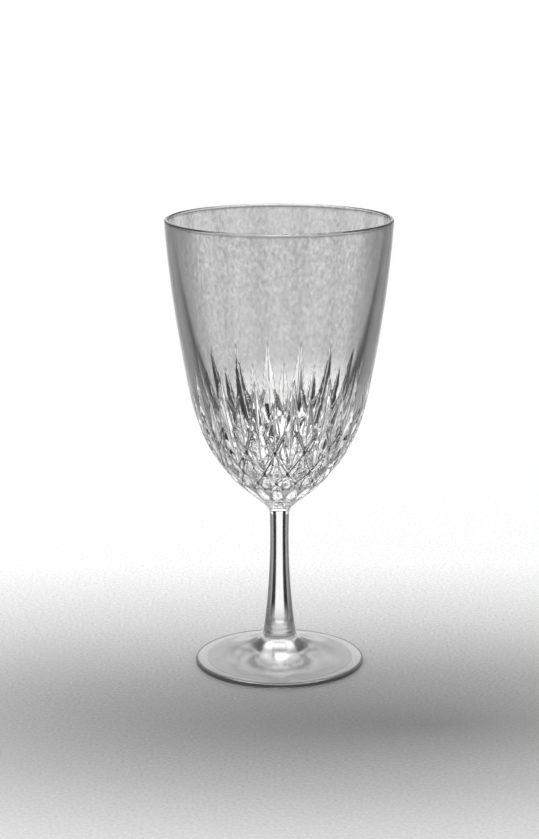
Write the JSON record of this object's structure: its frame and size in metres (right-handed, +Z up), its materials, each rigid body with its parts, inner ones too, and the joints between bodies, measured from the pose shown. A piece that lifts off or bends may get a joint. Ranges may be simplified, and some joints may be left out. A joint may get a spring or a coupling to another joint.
{
  "type": "wine glass",
  "caption": "Stemmed wine glass in clear crystal: deep tapering bowl with wheel-cut mitres round its base, slim solid stem, flared button and round foot",
  "frame": {"origin": "centre of the plane that the foot rests on", "axes": "+Z up the axis of the glass, from the foot to the rim; the glass is round about Z, so +X and +Y are free"},
  "size_m": [0.0838, 0.0838, 0.17],
  "materials": {
    "bowl_glass": "blown clear crystal, wheel cut and acid polished",
    "stem_glass": "solid drawn clear crystal, fire polished",
    "foot_glass": "spun clear crystal, fire polished"
  },
  "bodies": {
    "root": {"foot": "foot_glass", "stem": "stem_glass", "button": "stem_glass", "bowl": "bowl_glass"}
  },
  "joints": []
}
